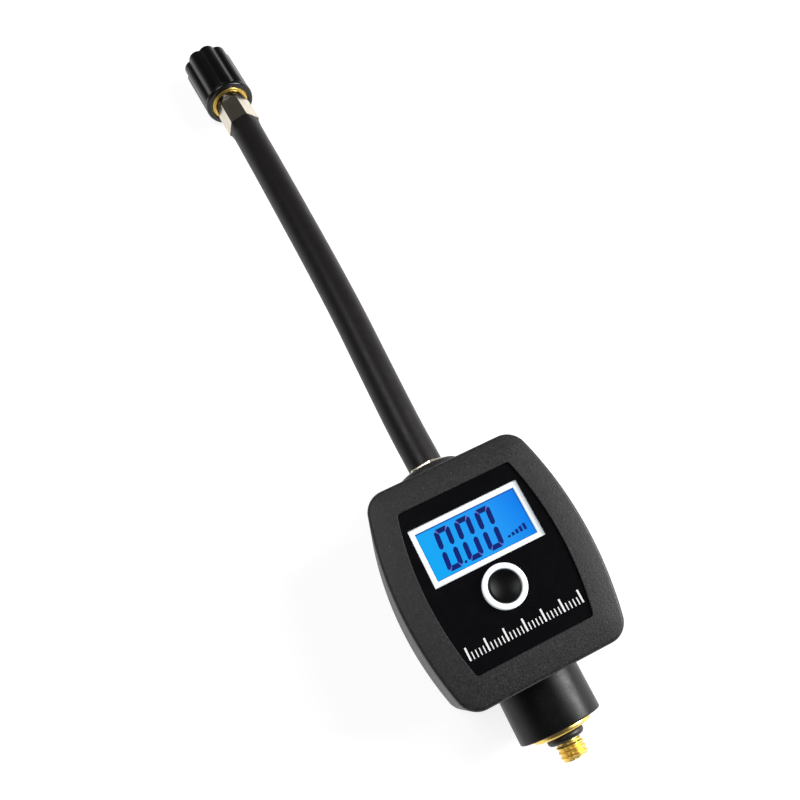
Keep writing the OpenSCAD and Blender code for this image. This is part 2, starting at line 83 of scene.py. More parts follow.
panel_low, panel_high = span("display_panel")
PANEL_GAP = 0.1
PANEL_HALF_W = panel_high.x + PANEL_GAP
PANEL_HALF_L = panel_high.y + PANEL_GAP
PANEL_SIDE_R = 80
PANEL_TOP = panel_high.z
PANEL_FLOOR = panel_low.z

bezel_low, bezel_high = span("display_window")
lcd_low, lcd_high = span("display_glass")
LCD_BORDER = 1.3

ring_low, ring_high = span("button_ring")
BUTTON_Y = (ring_low.y + ring_high.y) / 2
RING_R = ring_high.x
button_low, button_high = span("push_button")
BUTTON_R = 3.92
BUTTON_HOLE_R = 4.05

collar_low, collar_high = span("pump_collar")
AIR_Z = SPLIT_Z
COLLAR_R = collar_high.x
COLLAR_END = -collar_low.y
fitting_low, fitting_high = span("pump_fitting")
STUD_END = -fitting_low.y
FLANGE_R = fitting_high.x
STUD_R = 3.5
AIR_R = 1.25
SHANK_R = 5.0
NECK_R = STUD_R - 0.7
seal_low, seal_high = span("pump_o_ring")

BOSS_R = 8.9
BOSS_END = shell_high.y
HOLE_R = 5.9
FERRULE_AF = 9.8
FERRULE_MOUTH = 33.0
UPPER_TURN = math.radians(12)
LOWER_TURN = math.radians(21)
HOSE_R = 4.85

TIP = Vector((-0.85, 162.2, 10.2))
TIP_DROP = math.radians(4)
TIP_YAW = math.radians(2.5)
AIR_LINE = Matrix.Translation((0, 0, AIR_Z))
CHUCK = (
    Matrix.Translation(TIP)
    @ Matrix.Rotation(TIP_YAW, 4, "Z")
    @ Matrix.Rotation(-TIP_DROP, 4, "X")
)
TIP_DIR = CHUCK.to_3x3() @ Vector((0, 1, 0))
HOSE_ROUTE = [
    (0, 22.5, 14), (0, FERRULE_MOUTH, 14), (-0.2, 45, 14), (-0.1, 58, 14), (0.1, 70, 13.9),
    (0.3, 82, 13.8), (0.3, 94, 13.6), (0.2, 106, 13.2), (0, 118, 12.8),
    (-0.2, 130, 12.3), (-0.4, 142, 11.6), (-0.6, 152, 10.9),
    TIP, TIP + 4 * TIP_DIR, TIP + 10 * TIP_DIR,
]

# the grip, from its start to its end along the chuck's own axis
GRIP_START = 11.2
GRIP_END = 31.2
GRIP_R = 8.1
GRIP_BORE = 6.3
GRIP_BAND = 1.4
GRIP_LOBES = 9
VALVE_R = 3.65


# ---------------------------------------------------------------- camera, floor and light


def add_camera():
    """The camera looks down on the gauge from a little over 20 cm."""
    place = Vector((-33.86, -17.25, 224.67)) * MM
    right = Vector((0.89806, -0.43984, 0.00606)).normalized()
    forward = Vector((0.16016, 0.31412, -0.93578)).normalized()
    up = right.cross(forward)
    right = forward.cross(up)
    turn = Matrix((right, up, -forward)).transposed()
    data = bpy.data.cameras.new("camera")
    data.sensor_fit = "HORIZONTAL"
    data.sensor_width = 36
    data.lens = 36.29
    data.clip_start = 0.005
    data.clip_end = 20
    camera = bpy.data.objects.new("camera", data)
    camera.matrix_world = Matrix.Translation(place) @ turn.to_4x4()
    bpy.context.scene.collection.objects.link(camera)
    bpy.context.scene.camera = camera


def add_softbox(name, place, size, power, aim=(0, 60, 10)):
    """A rectangular area light, in millimetres, that faces the point aim."""
    data = bpy.data.lights.new(name, "AREA")
    data.shape = "RECTANGLE"
    data.size = size[0] * MM
    data.size_y = size[1] * MM
    data.energy = power
    lamp = bpy.data.objects.new(name, data)
    place = Vector(place) * MM
    lamp.location = place
    lamp.rotation_mode = "QUATERNION"
    lamp.rotation_quaternion = (Vector(aim) * MM - place).to_track_quat("-Z", "Y")
    bpy.context.scene.collection.objects.link(lamp)


def studio_world():
    """A pale horizon that darkens towards a nearly black ceiling."""
    world = bpy.data.worlds.new("studio")
    world.use_nodes = True
    tree = world.node_tree
    background = tree.nodes["Background"]
    shades = [(0.0, 0.55), (0.1, 0.45), (0.3, 0.14), (0.5, 0.06), (1.0, 0.05)]
    greys = [(rise, (shade, shade, shade)) for rise, shade in shades]
    ramp = blend_colours(tree, position(tree, "Generated")["Z"], greys)
    tree.links.new(ramp, background.inputs["Color"])
    return world


def add_studio():
    """The world and three soft lights."""
    scene = bpy.context.scene
    scene.view_settings.view_transform = "Standard"
    scene.world = studio_world()
    add_softbox("softbox_low", (465, -60, 275), (220, 170), 2.9, (5, -25, 20))
    add_softbox("softbox_high", (330, -20, 400), (200, 200), 0.8, (5, 0, 36))
    add_softbox("softbox_left", (-165, 175, 490), (220, 220), 0.8, (0, 40, 20))


def add_floor():
    """A floor just under the gauge, which glows enough to read as white."""
    mesh = bpy.data.meshes.new("floor")
    half = 3.0
    corners = [(-half, -half, 0), (half, -half, 0), (half, half, 0), (-half, half, 0)]
    mesh.from_pydata(corners, [], [(0, 1, 2, 3)])
    floor = bpy.data.objects.new("floor", mesh)
    floor.location.z = -0.0002
    bpy.context.scene.collection.objects.link(floor)
    paint, _, bsdf = shader("floor_paint")
    bsdf.inputs["Base Color"].default_value = (0.4, 0.4, 0.4, 1)
    bsdf.inputs["Roughness"].default_value = 0.9
    bsdf.inputs["Specular IOR Level"].default_value = 0.1
    bsdf.inputs["Emission Color"].default_value = (1, 1, 1, 1)
    bsdf.inputs["Emission Strength"].default_value = 0.84
    mesh.materials.append(paint)


# ---------------------------------------------------------------- materials


def shader(name):
    """A new material, its node tree and its shader node."""
    made = bpy.data.materials.new(name)
    made.use_nodes = True
    tree = made.node_tree
    return made, tree, tree.nodes["Principled BSDF"]


def position(tree, kind="Object"):
    """X, Y and Z of the shaded point, as Object or as Generated coordinates."""
    coords = tree.nodes.new("ShaderNodeTexCoord")
    split = tree.nodes.new("ShaderNodeSeparateXYZ")
    tree.links.new(coords.outputs[kind], split.inputs["Vector"])
    return split.outputs


def object_noise(tree, size, detail=3.0, stretch=(1, 1, 1)):
    """Noise whose grains are about size millimetres across, drawn out along stretch."""
    coords = tree.nodes.new("ShaderNodeTexCoord")
    scale = tree.nodes.new("ShaderNodeMapping")
    scale.inputs["Scale"].default_value = [1 / (size * MM * s) for s in stretch]
    noise = tree.nodes.new("ShaderNodeTexNoise")
    noise.inputs["Scale"].default_value = 1.0
    noise.inputs["Detail"].default_value = detail
    tree.links.new(coords.outputs["Object"], scale.inputs["Vector"])
    tree.links.new(scale.outputs["Vector"], noise.inputs["Vector"])
    return noise.outputs["Fac"]


def spread(tree, value, low, high, low_at=0.3, high_at=0.7):
    """Maps noise from low_at..high_at to low..high."""
    node = tree.nodes.new("ShaderNodeMapRange")
    node.inputs["From Min"].default_value = low_at
    node.inputs["From Max"].default_value = high_at
    node.inputs["To Min"].default_value = low
    node.inputs["To Max"].default_value = high
    tree.links.new(value, node.inputs["Value"])
    return node.outputs["Result"]


def blend_colours(tree, value, stops):
    """A colour ramp over (position, colour) stops."""
    ramp = tree.nodes.new("ShaderNodeValToRGB")
    elements = ramp.color_ramp.elements
    elements[0].position, elements[0].color = stops[0][0], (*stops[0][1], 1)
    elements[1].position, elements[1].color = stops[-1][0], (*stops[-1][1], 1)
    for position, colour in stops[1:-1]:
        elements.new(position).color = (*colour, 1)
    tree.links.new(value, ramp.inputs["Fac"])
    return ramp.outputs["Color"]


def bump(tree, bsdf, value, height):
    """Relief of height millimetres from a value, added to what the shader already has."""
    node = tree.nodes.new("ShaderNodeBump")
    node.inputs["Distance"].default_value = height * MM
    tree.links.new(value, node.inputs["Height"])
    earlier = bsdf.inputs["Normal"].links
    if earlier:
        tree.links.new(earlier[0].from_socket, node.inputs["Normal"])
    tree.links.new(node.outputs["Normal"], bsdf.inputs["Normal"])


def surface(name, dark, light, rough, grain, relief, metal=0.0, gloss=0.5, stretch=(1, 1, 1)):
    """A plain finish: two close colours in fine grains, uneven gloss, and a slight relief."""
    made, tree, bsdf = shader(name)
    fine = object_noise(tree, grain, stretch=stretch)
    broad = object_noise(tree, grain * 9)
    tree.links.new(blend_colours(tree, fine, [(0.3, dark), (0.7, light)]), bsdf.inputs["Base Color"])
    tree.links.new(spread(tree, broad, rough * 0.88, rough * 1.12), bsdf.inputs["Roughness"])
    bsdf.inputs["Metallic"].default_value = metal
    bsdf.inputs["Specular IOR Level"].default_value = gloss
    if relief:
        bump(tree, bsdf, fine, relief)
    return made


def casing_plastic():
    """Spark-textured black ABS: fine pits, faint brown and grey mottling, a few pale specks."""
    made, tree, bsdf = shader("casing_plastic")
    pits = object_noise(tree, 0.42, detail=5.0)
    mottle = object_noise(tree, 1.1, detail=2.0)
    mix = tree.nodes.new("ShaderNodeMix")
    mix.data_type = "RGBA"
    mix.blend_type = "MULTIPLY"
    mix.inputs["Factor"].default_value = 1.0
    tones = [
        (0.32, (0.0025, 0.0022, 0.0023)),
        (0.5, (0.010, 0.0094, 0.0096)),
        (0.66, (0.022, 0.0208, 0.0212)),
        (0.84, (0.11, 0.11, 0.112)),
    ]
    tree.links.new(blend_colours(tree, pits, tones), mix.inputs["A"])
    tree.links.new(
        blend_colours(tree, mottle, [(0.3, (0.72, 0.67, 0.66)), (0.7, (1.0, 1.0, 1.02))]),
        mix.inputs["B"],
    )
    tree.links.new(mix.outputs["Result"], bsdf.inputs["Base Color"])
    tree.links.new(spread(tree, pits, 0.42, 0.6), bsdf.inputs["Roughness"])
    bump(tree, bsdf, pits, 0.06)
    return made


def lcd_light():
    """The lit display: cyan at the left, deeper blue at the right and in the top corner."""
    made, tree, bsdf = shader("lcd_light")
    at = position(tree)
    across = spread(tree, at["X"], 0, 1, lcd_low.x * MM, lcd_high.x * MM)
    upward = spread(tree, at["Y"], 0, 1, lcd_low.y * MM, lcd_high.y * MM)
    row_low = blend_colours(tree, across, [
        (0.0, (0.002, 0.42, 0.95)),
        (0.25, (0.006, 0.42, 1.0)),
        (0.62, (0.02, 0.38, 1.0)),
        (1.0, (0.001, 0.24, 0.92)),
    ])
    row_high = blend_colours(tree, across, [
        (0.0, (0.008, 0.43, 1.0)),
        (0.3, (0.012, 0.38, 1.0)),
        (0.72, (0.014, 0.32, 1.0)),
        (1.0, (0.001, 0.19, 0.9)),
    ])
    mix = tree.nodes.new("ShaderNodeMix")
    mix.data_type = "RGBA"
    tree.links.new(upward, mix.inputs["Factor"])
    tree.links.new(row_low, mix.inputs["A"])
    tree.links.new(row_high, mix.inputs["B"])
    tree.links.new(mix.outputs["Result"], bsdf.inputs["Emission Color"])
    bsdf.inputs["Base Color"].default_value = (0.001, 0.004, 0.012, 1)
    bsdf.inputs["Emission Strength"].default_value = 1.0
    bsdf.inputs["Roughness"].default_value = 0.35
    bsdf.inputs["Specular IOR Level"].default_value = 0.1
    return made


def painted_glow_white():
    """Bright white plastic of the display's border and the trim ring, with a painted glow: a little
    emission that whitens it beyond what the lamps give.
    """
    made, tree, bsdf = shader("painted_glow_white")
    fine = object_noise(tree, 0.6)
    tree.links.new(
        blend_colours(tree, fine, [(0.3, (0.84, 0.86, 0.88)), (0.7, (0.9, 0.91, 0.92))]),
        bsdf.inputs["Base Color"],
    )
    # painted glow: emission that stands in for light on plain white plastic
    bsdf.inputs["Emission Color"].default_value = (0.86, 0.94, 1.0, 1)
    bsdf.inputs["Emission Strength"].default_value = 0.45
    bsdf.inputs["Roughness"].default_value = 0.4
    return made


def clear_window():
    """Thin clear plastic: almost nothing but a faint gloss."""
    made, tree, bsdf = shader("clear_window")
    haze = object_noise(tree, 3.0)
    tree.links.new(spread(tree, haze, 0.03, 0.08), bsdf.inputs["Roughness"])
    bsdf.inputs["Base Color"].default_value = (0.01, 0.015, 0.02, 1)
    bsdf.inputs["Alpha"].default_value = 0.04
    return made


def cell_sleeve():
    """Dark printed sleeve, copper towards the cell's +Y end, bare steel at both ends."""
    made, tree, bsdf = shader("cell_sleeve")
    at = position(tree)
    half_l = 22.5
    along = spread(tree, at["Y"], 0, 1, -half_l * MM, half_l * MM)
    steel, sleeve, copper = (0.62, 0.62, 0.6), (0.012, 0.016, 0.02), (0.55, 0.22, 0.07)
    ramp = blend_colours(tree, along, [
        (0.0, steel), (0.03, sleeve), (0.2, sleeve), (0.5, sleeve),
        (0.74, copper), (0.96, copper), (1.0, steel),
    ])
    tree.links.new(ramp, bsdf.inputs["Base Color"])
    scuff = object_noise(tree, 1.5)
    tree.links.new(spread(tree, scuff, 0.25, 0.4), bsdf.inputs["Roughness"])
    bsdf.inputs["Metallic"].default_value = 0.7
    return made


def board_green():
    """Solder mask over faint copper runs."""
    made, tree, bsdf = shader("board_green")
    coords = tree.nodes.new("ShaderNodeTexCoord")
    cells = tree.nodes.new("ShaderNodeTexVoronoi")
    cells.feature = "DISTANCE_TO_EDGE"
    cells.inputs["Scale"].default_value = 420
    tree.links.new(coords.outputs["Object"], cells.inputs["Vector"])
    runs = blend_colours(tree, cells.outputs["Distance"], [
        (0.0, (0.03, 0.25, 0.08)), (0.06, (0.03, 0.25, 0.08)), (0.09, (0.008, 0.1, 0.035)),
    ])
    tree.links.new(runs, bsdf.inputs["Base Color"])
    bsdf.inputs["Roughness"].default_value = 0.3
    return made


def segment_ink(name, top, bottom):
    """Dark display segment with the backlight glowing faintly through it."""
    made, tree, bsdf = shader(name)
    at = position(tree)
    upward = spread(tree, at["Y"], 0, 1, lcd_low.y * MM, lcd_high.y * MM)
    glow = blend_colours(tree, upward, [(0.1, bottom), (0.9, top)])
    tree.links.new(glow, bsdf.inputs["Emission Color"])
    bsdf.inputs["Base Color"].default_value = (0.001, 0.002, 0.006, 1)
    bsdf.inputs["Emission Strength"].default_value = 1.0
    bsdf.inputs["Roughness"].default_value = 0.5
    bsdf.inputs["Specular IOR Level"].default_value = 0.1
    return made


def make_finishes():
    """Every finish, by the record's name for its slot."""
    return {
        "casing": casing_plastic(),
        "panel": surface(
            "panel_gloss", (0.0016, 0.0017, 0.0026), (0.0028, 0.0028, 0.004),
            rough=0.14, grain=2.0, relief=0.0,
        ),
        "clear_plastic": clear_window(),
        "white_plastic": surface(
            "white_trim", (0.8, 0.8, 0.81), (0.88, 0.88, 0.89),
            rough=0.35, grain=0.7, relief=0.002,
        ),
        "lcd": lcd_light(),
        "light_guide": surface(
            "light_guide", (0.6, 0.72, 0.85), (0.7, 0.8, 0.92),
            rough=0.3, grain=0.8, relief=0.0,
        ),
        "contact_rubber": surface(
            "zebra_rubber", (0.04, 0.045, 0.09), (0.4, 0.42, 0.5),
            rough=0.6, grain=0.12, relief=0.0, stretch=(1, 40, 40),
        ),
        "board": board_green(),
        "screw_steel": surface(
            "screw_steel", (0.42, 0.42, 0.43), (0.6, 0.6, 0.61),
            rough=0.32, grain=0.25, relief=0.003, metal=1.0,
        ),
        "chip": surface(
            "chip_epoxy", (0.008, 0.008, 0.009), (0.016, 0.016, 0.017),
            rough=0.55, grain=0.15, relief=0.01,
        ),
        "board_parts": surface(
            "part_ceramic", (0.24, 0.15, 0.07), (0.42, 0.3, 0.16),
            rough=0.45, grain=0.3, relief=0.005,
        ),
        "sensor": surface(
            "sensor_body", (0.55, 0.55, 0.5), (0.68, 0.68, 0.63),
            rough=0.5, grain=0.4, relief=0.005,
        ),
        "silicone": surface(
            "silicone", (0.6, 0.56, 0.48), (0.72, 0.69, 0.62),
            rough=0.5, grain=0.8, relief=0.004,
        ),
        "switch_metal": surface(
            "switch_metal", (0.5, 0.5, 0.51), (0.66, 0.66, 0.67),
            rough=0.3, grain=0.3, relief=0.003, metal=1.0,
        ),
        "button": surface(
            "button_plastic", (0.0016, 0.0016, 0.0018), (0.0024, 0.0024, 0.0027),
            rough=0.34, grain=0.5, relief=0.002, gloss=0.2,
        ),
        "inner_plastic": surface(
            "inner_plastic", (0.03, 0.03, 0.032), (0.05, 0.05, 0.053),
            rough=0.5, grain=0.6, relief=0.01,
        ),
        "cell": cell_sleeve(),
        "contact_steel": surface(
            "contact_steel", (0.5, 0.47, 0.38), (0.7, 0.68, 0.6),
            rough=0.28, grain=0.3, relief=0.002, metal=1.0,
        ),
        "wire": surface(
            "wire_red", (0.33, 0.01, 0.008), (0.45, 0.02, 0.015),
            rough=0.4, grain=0.4, relief=0.002,
        ),
        "collar": surface(
            "collar_plastic", (0.002, 0.002, 0.002), (0.008, 0.0072, 0.007),
            rough=0.36, grain=0.28, relief=0.02, gloss=0.24,
        ),
        "brass": surface(
            "gold_brass", (0.94, 0.60, 0.12), (1.0, 0.78, 0.25),
            rough=0.36, grain=0.5, relief=0.003, metal=1.0,
        ),
        "seal_rubber": surface(
            "seal_rubber", (0.006, 0.006, 0.006), (0.011, 0.010, 0.010),
            rough=0.42, grain=0.3, relief=0.004,
        ),
        "manifold": surface(
            "manifold_metal", (0.45, 0.45, 0.46), (0.6, 0.6, 0.61),
            rough=0.3, grain=0.3, relief=0.003, metal=1.0,
        ),
        "nickel": surface(
            "champagne_nickel", (0.70, 0.62, 0.50), (0.82, 0.75, 0.64),
            rough=0.17, grain=0.6, relief=0.003, metal=1.0, stretch=(1, 6, 1),
        ),
        "hose_rubber": surface(
            "hose_rubber", (0.009, 0.0075, 0.008), (0.016, 0.0135, 0.014),
            rough=0.40, grain=0.28, relief=0.008, gloss=0.26,
        ),
        "grip": surface(
            "grip_gloss", (0.002, 0.002, 0.002), (0.0035, 0.003, 0.003),
            rough=0.24, grain=0.5, relief=0.002, gloss=0.42,
        ),
        "ink_navy": segment_ink("ink_navy", (0.002, 0.014, 0.15), (0.0012, 0.016, 0.2)),
        # painted shade: a darker blue strip along the inside of the white border
        "painted_edge_shade_ink": segment_ink("painted_edge_shade_ink", (0.006, 0.10, 0.42), (0.004, 0.16, 0.55)),
        "ink_violet": segment_ink("ink_violet", (0.17, 0.12, 0.62), (0.11, 0.11, 0.55)),
        "ink_white": surface(
            "ink_white", (0.9, 0.9, 0.9), (0.97, 0.97, 0.97),
            rough=0.5, grain=0.3, relief=0.0,
        ),
        # white plastic with a painted glow
        "painted_glow_white": painted_glow_white(),
    }


# ---------------------------------------------------------------- mesh tools


def rounded(points, radii, steps=6, closed=False):
    """A 2-D line through points, each corner an arc of its own radius."""
    count = len(points)
    out = []
    for i, point in enumerate(points):
        here = Vector(point)
        radius = radii[i] if hasattr(radii, "__len__") else radii
        if not closed and i in (0, count - 1) or radius <= 0:
            out.append(here)
            continue
        to_last = (Vector(points[i - 1]) - here).normalized()
        to_next = (Vector(points[(i + 1) % count]) - here).normalized()
        half = to_last.angle(to_next) / 2
        middle = here + (to_last + to_next).normalized() * (radius / math.sin(half))
        start = here + to_last * (radius / math.tan(half)) - middle
        end = here + to_next * (radius / math.tan(half)) - middle
        turn = start.angle_signed(end)
        for k in range(steps + 1):
            arm = start.copy()
            arm.rotate(Matrix.Rotation(-turn * k / steps, 2))
            out.append(middle + arm)
    return out


def barrel(half_w, half_l, side_r, corner_r, inset=0.0, side_steps=28, corner_steps=10, end_steps=12):
    """Points of an outline with bulging sides, straight ends and round corners."""
    big, small = side_r - inset, corner_r - inset
    half_l -= inset
    centre_x = half_w - side_r
    corner_y = half_l - small
    corner_x = centre_x + math.sqrt((big - small) ** 2 - corner_y**2)
    lean = math.atan2(corner_y, corner_x - centre_x)
    quarter = []
    for k in range(side_steps // 2):
        a = lean * k / (side_steps // 2)
        quarter.append((centre_x + big * math.cos(a), big * math.sin(a)))
    for k in range(corner_steps):
        a = lean + (math.pi / 2 - lean) * k / corner_steps
        quarter.append((corner_x + small * math.cos(a), corner_y + small * math.sin(a)))
    for k in range(end_steps // 2):
        quarter.append((corner_x * (1 - 2 * k / end_steps), half_l))
    left = [(-x, y) for x, y in quarter[:0:-1]]
    top = [*quarter, (0, half_l), *left]
    return [*top, *[(-x, -y) for x, y in top]]


def circle(radius, count, start=0.0):
    """Points evenly round a circle, from the angle start."""
    return [
        (radius * math.cos(start + math.tau * k / count), radius * math.sin(start + math.tau * k / count))
        for k in range(count)
    ]


def rectangle(x0, y0, x1, y1):
    """The four corners of an upright rectangle."""
    return [(x0, y0), (x1, y0), (x1, y1), (x0, y1)]


def add_mesh(name, points, faces, body, slot, sharp=38, finish=None):
    """A closed mesh from millimetre points, riding on a body."""
    mesh = bpy.data.meshes.new(name)
    mesh.from_pydata([Vector(p) * MM for p in points], [], faces)
    piece = bpy.data.objects.new(name, mesh)
    bpy.context.scene.collection.objects.link(piece)
    tidy(piece, sharp)
    mesh.materials.append(finishes[finish or slot])
    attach(piece, body)
    return piece


def tidy(piece, sharp=38):
    """Merges doubled points, turns every face outwards and smooths all but sharp edges."""
    work = bmesh.new()
    work.from_mesh(piece.data)
    bmesh.ops.remove_doubles(work, verts=work.verts, dist=1e-7)
    bmesh.ops.recalc_face_normals(work, faces=work.faces)
    work.to_mesh(piece.data)
    work.free()
    piece.data.shade_smooth()
    piece.data.set_sharp_from_angle(angle=math.radians(sharp))


def skin(loops, ends="caps"):
    """Points and faces of a skin over loops with as many points each. ends: caps or joined."""
    count = len(loops[0])
    points = [p for loop in loops for p in loop]
    faces = []
    pairs = list(zip(range(len(loops) - 1), range(1, len(loops))))
    if ends == "joined":
        pairs.append((len(loops) - 1, 0))
    for low, high in pairs:
        for k in range(count):
            n = (k + 1) % count
            faces.append((low * count + k, low * count + n, high * count + n, high * count + k))
    if ends == "caps":
        faces.append(tuple(range(count - 1, -1, -1)))
        faces.append(tuple(range((len(loops) - 1) * count, len(loops) * count)))
    return points, faces


def stack(name, layers, body, slot):
    """A skin over (outline, z) layers."""
    loops = [[(x, y, z) for x, y in outline] for outline, z in layers]
    return add_mesh(name, *skin(loops), body, slot)


def turned_loops(rows, place, count):
    """Rings round the Y axis of place, over (radius, distance) rows."""
    loops = []
    for radius, along in rows:
        loop = []
        for k in range(count):
            a = math.tau * k / count
            r = radius(a) if callable(radius) else radius
            loop.append(place @ Vector((r * math.cos(a), along, r * math.sin(a))))
        loops.append(loop)
    return loops


def turned(name, rows, place, body, slot, count=96, **more):
    """A body of revolution over rows. A row's radius may be a function of the angle."""
    return add_mesh(name, *skin(turned_loops(rows, place, count), "joined"), body, slot, **more)


def upright_loops(rows, count):
    """Rings round the button's own axis, over (radius, height) rows."""
    return [[(x, BUTTON_Y + y, z) for x, y in circle(r, count)] for r, z in rows]


def box_tool(low, high):
    """A box for carve, from corner to corner in millimetres."""
    outline = rectangle(low[0], low[1], high[0], high[1])
    points = [(x, y, z) for z in (low[2], high[2]) for x, y in outline]
    faces = [(0, 3, 2, 1), (4, 5, 6, 7), (0, 1, 5, 4), (1, 2, 6, 5), (2, 3, 7, 6), (3, 0, 4, 7)]
    return raw_tool(points, faces)


def rod_tool(radius, start, end, axis="Z", centre=(0, 0), count=64):
    """A round bar for carve, along Z or Y."""
    loops = []
    for along in (start, end):
        ring = circle(radius, count)
        if axis == "Z":
            loops.append([(x + centre[0], y + centre[1], along) for x, y in ring])
        else:
            loops.append([(x + centre[0], along, y + centre[1]) for x, y in ring])
    return raw_tool(*skin(loops))


def raw_tool(points, faces):
    """A closed mesh that carve uses up."""
    mesh = bpy.data.meshes.new("tool")
    mesh.from_pydata([Vector(p) * MM for p in points], [], faces)
    tool = bpy.data.objects.new("tool", mesh)
    bpy.context.scene.collection.objects.link(tool)
    tidy(tool)
    return tool


def settle(piece):
    """Turns a piece's modifiers into plain mesh."""
    bpy.context.view_layer.update()
    graph = bpy.context.evaluated_depsgraph_get()
    mesh = bpy.data.meshes.new_from_object(piece.evaluated_get(graph))
    old = piece.data
    piece.modifiers.clear()
    piece.data = mesh
    bpy.data.meshes.remove(old)
    mesh.name = piece.name


def carve(piece, tool, operation="DIFFERENCE"):
    """Cuts a tool away from a piece, or adds it, and removes the tool."""
    cut = piece.modifiers.new("cut", "BOOLEAN")
    cut.operation = operation
    cut.solver = "EXACT"
    cut.object = tool
    settle(piece)
    bpy.data.objects.remove(tool)


# ---------------------------------------------------------------- casing


def case_outline(z, inset=0.0):
    """The casing's outline at a height: it narrows a little towards the back."""
    lean = DRAFT * (1 - z / CASE_TOP)
    return barrel(CASE_HALF_W, CASE_END, SIDE_R, CORNER_R, inset + lean)


def panel_outline(inset=0.0):
    """Outline of the recess for the panel sheet."""
    return barrel(PANEL_HALF_W, PANEL_HALF_L, PANEL_SIDE_R, 1.0, inset)


def quarter_round(radius, steps=6):
    """(inset, drop) pairs of a quarter round, from the wall to the face."""
    angles = [math.pi / 2 * k / steps for k in range(steps + 1)]
    return [(radius * (1 - math.cos(a)), radius * (1 - math.sin(a))) for a in angles]


def hose_boss(upper):
    """Half of the round boss that the hose leaves through."""
    edge = 1.5
    core = 0.5
    root = CASE_END - 1
    profile = [(core, root), (BOSS_R, root), (BOSS_R, BOSS_END), (HOLE_R, BOSS_END), (core, BOSS_END)]
    rows = rounded(profile, [0, 0, edge, 0, 0])
    boss = raw_tool(*skin(turned_loops(rows, AIR_LINE, 96)))
    far = 40
    z0, z1 = (-far, SPLIT_Z) if upper else (SPLIT_Z, far + SPLIT_Z)
    carve(boss, box_tool((-far, 0, z0), (far, 2 * far, z1)))
    return boss


def cut_air_holes(shell):
    """Holes for the hose's ferrule and for the pump fitting's shank."""
    carve(shell, rod_tool(HOLE_R, 0, BOSS_END + 5, "Y", (0, AIR_Z), 96))
    carve(shell, rod_tool(SHANK_R + 0.1, -CASE_END - 5, 0, "Y", (0, AIR_Z), 96))


def front_shell():
    """Front shell: recess, crowned face, rounded edge, side wall and the lip of the joint."""
    face_round = 0.9
    crown = 0.35
    lead_in = 0.12
    layers = [
        (panel_outline(), PANEL_FLOOR),
        (panel_outline(), CASE_TOP - lead_in),
        (panel_outline(-lead_in), CASE_TOP),
    ]
    rim = case_outline(CASE_TOP, face_round)
    for share in (0.3, 0.6, 0.85):
        inner = panel_outline(-lead_in)
        blend = [(a[0] + share * (b[0] - a[0]), a[1] + share * (b[1] - a[1])) for a, b in zip(inner, rim)]
        layers.append((blend, CASE_TOP - crown * share**2))
    for inset, drop in reversed(quarter_round(face_round)):
        z = CASE_TOP - crown - drop
        layers.append((case_outline(z, inset), z))
    mid_z = 26
    layers += [
        (case_outline(mid_z), mid_z),
        (case_outline(SPLIT_Z + SEAM), SPLIT_Z + SEAM),
        (case_outline(SPLIT_Z, SEAM), SPLIT_Z),
        (case_outline(SPLIT_Z, WALL - LIP_T), SPLIT_Z),
        (case_outline(SPLIT_Z - LIP_H, WALL - LIP_T), SPLIT_Z - LIP_H),
        (case_outline(SPLIT_Z - LIP_H, WALL), SPLIT_Z - LIP_H),
        (case_outline(FRONT_INSIDE, WALL), FRONT_INSIDE),
    ]
    shell = stack("casing_front", layers, "gauge", "casing")
    carve(shell, hose_boss(True), "UNION")
    cut_air_holes(shell)
    gap = 0.25
    below, above = FRONT_INSIDE - 2, CASE_TOP + 1
    opening = box_tool(
        (bezel_low.x - gap, bezel_low.y - gap, below),
        (bezel_high.x + gap, bezel_high.y + gap, above),
    )
    carve(shell, opening)
    carve(shell, rod_tool(BUTTON_HOLE_R, below, above, "Z", (0, BUTTON_Y), 96))
    tidy(shell)
    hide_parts("front_casing")


def rear_shell():
    """Rear shell: flat back, side wall, the joint's step, battery bay and screw seats."""
    back_round = 1.1
    layers = [(case_outline(0, back_round), 0)]
    for inset, drop in reversed(quarter_round(back_round)[:-1]):
        layers.append((case_outline(drop, inset), drop))
    step_z = SPLIT_Z - LIP_H - LIP_GAP
    step_in = WALL - LIP_T - LIP_GAP
    layers += [
        (case_outline(SPLIT_Z - SEAM), SPLIT_Z - SEAM),
        (case_outline(SPLIT_Z, SEAM), SPLIT_Z),
        (case_outline(SPLIT_Z, step_in), SPLIT_Z),
        (case_outline(step_z, step_in), step_z),
        (case_outline(step_z, WALL), step_z),
        (case_outline(FACE_WALL, WALL), FACE_WALL),
    ]
    shell = stack("casing_rear", layers, "gauge", "casing")
    carve(shell, hose_boss(False), "UNION")
    cut_air_holes(shell)
    high = span("battery_door")[1]
    gap = 0.15
    bay_x = high.x - DOOR_TONGUE + gap
    rail_x = high.x + 0.2
    door_top = high.z + 0.1
    end = -CASE_END - 1
    carve(shell, box_tool((-bay_x, -CASE_END + WALL, -1), (bay_x, high.y + 0.2, FACE_WALL + 1)))
    carve(shell, box_tool((-bay_x, end, -1), (bay_x, -CASE_END + WALL + 1, door_top)))
    carve(shell, box_tool((-rail_x, end, high.z - 1.0), (rail_x, high.y, door_top)))
    screw_low, screw_high = span("casing_screws")
    head_r = 1.8
    seat = 1.6
    for x in (screw_low.x + head_r, screw_high.x - head_r):
        for y in (screw_low.y + head_r, screw_high.y - head_r):
            carve(shell, rod_tool(head_r + 0.2, -1, seat, "Z", (x, y), 48))
    tidy(shell)
    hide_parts("rear_casing")


